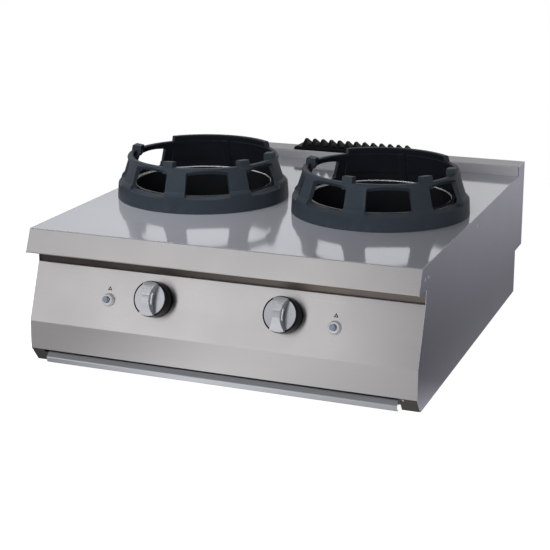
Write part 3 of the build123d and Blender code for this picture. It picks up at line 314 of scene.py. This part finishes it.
MATERIALS = {
    # Stainless sheet: colour, roughness, and how the brushing is stretched along X, Y and Z.
    "deck_steel": steel("deck_steel", (0.60, 0.61, 0.67), 0.08, (1, 60, 60), contrast=0.02,
                        metallic=0.45, smudge=0.02),
    "upstand_steel": steel("upstand_steel", (0.55, 0.55, 0.58), 0.35, (1, 60, 60), contrast=0.02,
                           metallic=0.15),
    "front_steel": steel("front_steel", (0.60, 0.585, 0.59), 0.28, (1, 60, 60), contrast=0.02,
                         brushed=0.8, relief=0.0000005),
    "side_steel": steel("side_steel", (0.54, 0.535, 0.66), 0.28, (14, 1, 14), contrast=0.012,
                        relief=0.0000003),
    # The recess strip: its dark colour is painted shade, and its painted shade runs darker to the left.
    "dark_steel": steel("dark_steel", (0.13, 0.11, 0.10), 0.35, (1, 30, 30), contrast=0.2,
                        smudge=0.2, painted_shade=(0.5, 1.7)),
    # The slanted return under the front band: dark as painted shade and a painted dark reflection.
    "return_shade": steel("return_shade", (0.10, 0.095, 0.09), 0.4, (1, 30, 30), contrast=0.2,
                          smudge=0.2),
    "tray_steel": steel("tray_steel", (0.60, 0.59, 0.58), 0.3),
    "handle_steel": steel("handle_steel", (0.58, 0.60, 0.64), 0.28, (1, 60, 60)),

    # Drawn, turned, rolled or plated metal: colour and roughness.
    # The wells' lips: a steel lip, made light on its rounded edge as a painted highlight.
    "lip_highlight_steel": worked_metal("lip_highlight_steel", (0.8, 0.8, 0.82), 0.25, contrast=0.03, scale=200.0,
                              relief=0.000002, metallic=0.4),
    "screw_steel": worked_metal("screw_steel", (0.95, 0.95, 0.97), 0.3, scale=900.0, relief=0.00002,
                                metallic=0.1),
    "zinc_sheet": worked_metal("zinc_sheet", (0.52, 0.53, 0.55), 0.42, contrast=0.14, scale=35.0,
                               relief=0.00003),
    "zinc_pipe": worked_metal("zinc_pipe", (0.5, 0.5, 0.5), 0.45, contrast=0.12, scale=90.0),
    "aluminium_tube": worked_metal("aluminium_tube", (0.7, 0.7, 0.71), 0.35, contrast=0.05,
                                   scale=150.0),
    "copper": worked_metal("copper", (0.72, 0.4, 0.26), 0.35, contrast=0.15, scale=110.0),
    "brass": worked_metal("brass", (0.72, 0.56, 0.28), 0.3, scale=160.0),
    "bezel_metal": worked_metal("bezel_metal", (0.62, 0.62, 0.63), 0.3, contrast=0.03, scale=400.0,
                                relief=0.00002),
    "knob_metal": worked_metal("knob_metal", (0.62, 0.63, 0.67), 0.42, contrast=0.03, scale=60.0,
                               relief=0.000002, metallic=0.5),
    "knob_disc": worked_metal("knob_disc", (0.46, 0.47, 0.50), 0.26, contrast=0.03, scale=60.0,
                              relief=0.000002),

    # Moulded or fired pieces: colour and roughness.
    # A light colour for the painted highlight on each knob's grip.
    "highlight_white": moulded("highlight_white", (0.9, 0.9, 0.92), 0.3),
    "ceramic": moulded("ceramic", (0.82, 0.8, 0.75), 0.3),
    "silicone": moulded("silicone", (0.4, 0.06, 0.04), 0.5),
    "collar_plastic": moulded("collar_plastic", (0.55, 0.55, 0.57), 0.3),
    "button_plastic": moulded("button_plastic", (0.2, 0.24, 0.32), 0.35),
    "knob_plastic": moulded("knob_plastic", (0.003, 0.003, 0.004), 0.14, shine=0.2),

    # Enamelled pieces: colour, roughness, and how much lighter the edges are.
    "well_enamel": cast_iron("well_enamel", (0.014, 0.015, 0.018), 0.22, edge=1.3, relief=0.0001),
    "burner_iron": cast_iron("burner_iron", (0.03, 0.03, 0.032), 0.6, edge=2.2),
    "grille_iron": cast_iron("grille_iron", (0.006, 0.006, 0.007), 0.5, edge=1.6),
    "ring_iron": cast_iron("ring_iron", (0.035, 0.044, 0.056), 0.45, edge=1.5),
    # The rings' insides: a darker copy of ring_iron, painted shade.
    "ring_inside_shade": cast_iron("ring_inside_shade", (0.012, 0.014, 0.019), 0.45, edge=1.5),
}


def slot_of(node):
    """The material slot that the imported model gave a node."""
    return nodes[node].data.materials[0].name.split(".")[0]


# ---------------------------------------------------------------- meshes
def finish_mesh(piece):
    """Smooth faces, sharp edges by angle, and normals that keep the flat faces flat."""
    mesh = piece.data
    mesh.polygons.foreach_set("use_smooth", [True] * len(mesh.polygons))
    mesh.set_sharp_from_angle(angle=SMOOTH_ANGLE)
    weighted = piece.modifiers.new("normals", "WEIGHTED_NORMAL")
    weighted.keep_sharp = True


def new_piece(name, mesh_data, body, slot, *replaced):
    """A mesh piece in its place, riding on a body, with its slot's material.

    It stands in for the nodes that it replaces.
    """
    piece = bpy.data.objects.new(name, mesh_data)
    bpy.context.scene.collection.objects.link(piece)
    mesh_data.materials.clear()
    mesh_data.materials.append(MATERIALS[slot])
    finish_mesh(piece)
    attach(piece, body)
    if replaced:
        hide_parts(*replaced)
    return piece


def soften(node, width, segments):
    """A node's own shape with its sharp edges rounded, as pressed, cast and moulded edges are."""
    form = bmesh.new()
    form.from_mesh(nodes[node].data)
    bmesh.ops.remove_doubles(form, verts=form.verts, dist=WELD)
    bmesh.ops.dissolve_limit(form, angle_limit=FLAT_ANGLE, verts=form.verts, edges=form.edges,
                             use_dissolve_boundaries=False, delimit={"NORMAL"})
    form.normal_update()
    sharp = [edge for edge in form.edges
             if edge.is_manifold and edge.calc_face_angle(0.0) > EDGE_ANGLE]
    bmesh.ops.bevel(form, geom=sharp, offset=width, segments=segments, profile=0.5, affect="EDGES",
                    clamp_overlap=True, miter_outer="ARC")
    mesh_data = bpy.data.meshes.new(node + "_form")
    form.to_mesh(mesh_data)
    form.free()
    if "custom_normal" in mesh_data.attributes:
        mesh_data.attributes.remove(mesh_data.attributes["custom_normal"])
    new_piece(node + "_form", mesh_data, body_of_node[node], slot_of(node), node)


def panel_place(x, up, out=PRINT_HEIGHT):
    """A place on the sloping panel: along it, up it from its top edge, and out of its face."""
    return Vector((x, PANEL_TOP[0] + up * sin(PANEL_LEAN) - out * cos(PANEL_LEAN),
                   PANEL_TOP[1] + up * cos(PANEL_LEAN) + out * sin(PANEL_LEAN)))


def paint(piece, finish, chosen):
    """Gives the faces that a test picks by their place and normal a second finish."""
    mesh_data = bpy.data.objects[piece].data
    mesh_data.materials.append(MATERIALS[finish])
    for face in mesh_data.polygons:
        if chosen(face.center, face.normal):
            face.material_index = 1


# ---------------------------------------------------------------- the object's pieces
# How far the sharp edges are rounded, in millimetres.
SOFTENED = {
    "top_plate": 0.5, "side_panel_left": 0.35, "side_panel_right": 0.35, "control_panel": 0.4,
    "front_recess_strip": 0.3, "back_panel": 0.3, "flue_housing": 0.4, "flue_grille": 0.8,
    "tray_handle": 0.4, "drip_tray": 0.3,
}
SOFTENED_PAIRS = {
    "wok_ring": 2.6, "burner_rim": 0.4, "knob": 0.7, "knob_face": 0.7, "knob_bezel": 0.4,
    "igniter_body": 0.5, "igniter_button": 0.3, "burner_cap": 1.0, "burner_body": 1.0,
    "burner_well": 0.4,
}


def second_finishes():
    """Painted shade inside the rings and on the return, a painted highlight on the wells' lips, the
    knobs' discs and fronts.
    """
    for side, sign in SIGNS.items():
        axis = Vector((sign * BURNER_X, BURNER_Y, 0))
        # Painted shade: the faces turned towards the burner's axis get the darker ring iron.
        paint(f"wok_ring_{side}_form", "ring_inside_shade", lambda place, normal:
              normal.dot((place - axis).xy.normalized().to_3d()) < -TOWARDS_AXIS)
        # A painted highlight: the rounded faces of each well's lip, above where its rim bends over.
        paint(f"burner_well_{side}_form", "lip_highlight_steel", lambda place, normal:
              place.z > WELL_LIP and NEARLY_UPRIGHT < normal.z < NEARLY_LEVEL)
        paint(f"knob_face_{side}_form", "knob_disc", lambda place, normal:
              normal.dot(PANEL_OUT) > SQUARELY)
    paint("top_plate_form", "front_steel", lambda place, normal:
          normal.y < -MAINLY and place.y < DECK_FRONT)
    paint("flue_housing_form", "upstand_steel", lambda place, normal:
          normal.y < -MAINLY or normal.z > MAINLY)
    # The slanted return below the band gets painted shade.
    paint("control_panel_form", "return_shade", lambda place, normal: place.z < BAND_BOTTOM)


def to_mesh_data(form, name):
    """A finished bmesh as mesh data, with its faces turned outwards."""
    bmesh.ops.recalc_face_normals(form, faces=form.faces)
    mesh_data = bpy.data.meshes.new(name)
    form.to_mesh(mesh_data)
    form.free()
    return mesh_data


def spark_mark(side, sign):
    """An outline triangle, printed on the panel above an igniter."""
    mark = bmesh.new()
    x = sign * IGNITER_X
    middle = panel_place(x, -MARK_DROP)
    corners = [panel_place(x + MARK_SIZE * sin(turn), MARK_SIZE * cos(turn) - MARK_DROP)
               for turn in (0.0, 2 * pi / 3, -2 * pi / 3)]
    inner = [middle.lerp(corner, MARK_HOLE) for corner in corners]
    outside, inside = ([mark.verts.new(corner) for corner in ring] for ring in (corners, inner))
    for a, b in ((0, 1), (1, 2), (2, 0)):
        mark.faces.new((outside[a], outside[b], inside[b], inside[a]))
    new_piece(f"spark_mark_{side}", to_mesh_data(mark, "spark_mark"),
              body_of_node["control_panel"], "knob_plastic")


def pointer_line(side, sign):
    """A thin rib that follows the right flank of a knob's grip: a painted highlight, lighter than its
    slot's plastic.
    """
    line = bmesh.new()
    section = ((0, LINE_LOW), (LINE_RAISE, LINE_LOW), (LINE_RAISE, LINE_HIGH), (0, LINE_HIGH))
    rows = []
    for step in range(LINE_STEPS + 1):
        along = 2 * step / LINE_STEPS - 1
        x = sign * KNOB_X + FLANK_WAIST + FLANK_FLARE * along ** 2
        up = LINE_HALF * along - KNOB_DROP
        rows.append([line.verts.new(panel_place(x + stand, up, out)) for stand, out in section])
    for first, second in zip(rows, rows[1:]):
        for a, b in ((0, 1), (1, 2), (2, 3)):
            line.faces.new((first[a], first[b], second[b], second[a]))
    for row in (rows[0], rows[-1]):
        line.faces.new(row)
    piece = new_piece(f"pointer_line_{side}", to_mesh_data(line, "pointer_line"),
                      body_of_node[f"knob_face_{side}"], "collar_plastic")
    # The rib's light colour is a painted highlight.
    piece.data.materials[0] = MATERIALS["highlight_white"]


for node, width in SOFTENED.items():
    soften(node, width * MM, SHEET_SEGMENTS)
for stem, width in SOFTENED_PAIRS.items():
    for side in SIGNS:
        soften(f"{stem}_{side}", width * MM, ROUND_SEGMENTS)
second_finishes()
for side, sign in SIGNS.items():
    spark_mark(side, sign)
for side, sign in SIGNS.items():
    pointer_line(side, sign)
for node, shape in nodes.items():
    material = MATERIALS[slot_of(node)]
    for slot in shape.material_slots:
        slot.material = material


# ---------------------------------------------------------------- the studio
def studio_floor():
    """A pale floor, which metal mirrors bright in front of the middle and dark at the right."""
    mesh_data = bpy.data.meshes.new("floor")
    signs = ((-1, -1), (1, -1), (1, 1), (-1, 1))
    corners = [(x * FLOOR_HALF, y * FLOOR_HALF, 0) for x, y in signs]
    mesh_data.from_pydata(corners, [], [(0, 1, 2, 3)])
    floor = bpy.data.objects.new("floor", mesh_data)
    bpy.context.scene.collection.objects.link(floor)
    material = bpy.data.materials.new("floor")
    material.use_nodes = True
    tree = Tree(material.node_tree)
    rays = tree.add("LightPath")
    spot = tree.add("SeparateXYZ", {"Vector": tree.add("NewGeometry").outputs["Position"]})
    x, y = spot.outputs["X"], spot.outputs["Y"]
    across = tree.levels(x, *FLOOR_LEFT_TO_RIGHT, FLOOR_IN_FRONT)
    front = tree.math("MULTIPLY", across, tree.span(y, **FRONT_FADE))
    beside = tree.levels(y, *FLOOR_FRONT_TO_REAR, FLOOR_BESIDE)
    level = tree.mix(tree.span(x, **RIGHT_SIDE), front, beside)
    seen = tree.add("Emission", {"Color": level, "Strength": 1.0}).outputs[0]
    paper = tree.add("BsdfDiffuse", {"Color": grey(FLOOR_PAPER)}).outputs[0]
    glow = tree.add("Emission", {"Color": grey(1.0), "Strength": FLOOR_GLOW}).outputs[0]
    near = tree.add("AddShader", {0: paper, 1: glow}).outputs[0]
    plain = tree.add("Emission", {"Color": grey(1.0), "Strength": 1.0}).outputs[0]
    distance = tree.math("SQRT", tree.math("MULTIPLY_ADD", x, x, tree.math("MULTIPLY", y, y)))
    whiter = tree.span(distance, WHITE_FROM, WHITE_BEYOND)
    lit = tree.add("MixShader", {0: whiter, 1: near, 2: plain}).outputs[0]
    pale = tree.add("MixShader", {0: rays.outputs["Is Camera Ray"], 1: paper, 2: lit}).outputs[0]
    shown = tree.add("MixShader", {0: rays.outputs["Is Glossy Ray"], 1: pale, 2: seen}).outputs[0]
    tree.add("OutputMaterial", {"Surface": shown})
    mesh_data.materials.append(material)


def studio_light():
    """White behind the object for the camera; for the object a soft room with a broad bright side."""
    world = bpy.data.worlds.new("studio")
    bpy.context.scene.world = world
    world.use_nodes = True
    tree = Tree(world.node_tree)
    rays = tree.add("LightPath")
    way = tree.add("SeparateXYZ", {"Vector": tree.add("TexCoord").outputs["Generated"]})
    x, y, z = way.outputs["X"], way.outputs["Y"], way.outputs["Z"]
    azimuth = tree.math("ARCTAN2", x, tree.math("MULTIPLY", y, -1.0))
    stops = [(radians(degrees), level) for degrees, level in ROOM_AROUND]
    around = tree.levels(azimuth, -pi, pi, stops)
    height = tree.levels(z, 0.0, 1.0, ROOM_UP)
    level = tree.math("MULTIPLY", around, height)
    mirrored = tree.add("Background", {"Color": level, "Strength": 1.0}).outputs[0]
    upwards = tree.span(z, **SOFT_LIGHT)
    soft = tree.add("Background", {"Color": upwards, "Strength": 1.0}).outputs[0]
    room = tree.add("MixShader", {0: rays.outputs["Is Glossy Ray"], 1: soft, 2: mirrored}).outputs[0]
    white = tree.add("Background", {"Color": grey(1.0), "Strength": 1.0}).outputs[0]
    shown = tree.add("MixShader", {0: rays.outputs["Is Camera Ray"], 1: room, 2: white}).outputs[0]
    tree.add("OutputWorld", {"Surface": shown})


def lamp(name, place, target, size, power, spread=180):
    """A rectangular lamp, which neither the camera nor shiny metal shows."""
    data = bpy.data.lights.new(name, "AREA")
    data.shape = "RECTANGLE"
    data.size, data.size_y = size
    data.energy = power
    data.spread = radians(spread)
    light = bpy.data.objects.new(name, data)
    bpy.context.scene.collection.objects.link(light)
    light.location = place
    light.rotation_mode = "QUATERNION"
    light.rotation_quaternion = (Vector(target) - Vector(place)).to_track_quat("-Z", "Y")
    light.visible_glossy = False
    light.visible_camera = False


def photo_camera():
    """The photograph's camera."""
    data = bpy.data.cameras.new("camera")
    data.sensor_width = SENSOR
    data.lens = FOCAL_PIXELS / PHOTO_SIZE * SENSOR
    data.shift_y = CAMERA_SHIFT
    camera = bpy.data.objects.new("camera", data)
    bpy.context.scene.collection.objects.link(camera)
    camera.location = CAMERA_PLACE
    ahead = Vector((-sin(CAMERA_YAW) * cos(CAMERA_PITCH), cos(CAMERA_YAW) * cos(CAMERA_PITCH),
                    -sin(CAMERA_PITCH)))
    camera.rotation_mode = "QUATERNION"
    camera.rotation_quaternion = ahead.to_track_quat("-Z", "Y")
    bpy.context.scene.camera = camera


studio_floor()
studio_light()
lamp("key_lamp", place=(0.2, -3.4, 1.3), target=(0.0, -0.1, 0.3), size=(1.6, 1.2), power=60.0)
lamp("left_lamp", place=(-0.5, -0.3, 1.6), target=(-0.32, -0.3, 0.275), size=(0.6, 0.6), power=1.8,
     spread=60)
photo_camera()
bpy.context.scene.view_settings.view_transform = "Standard"
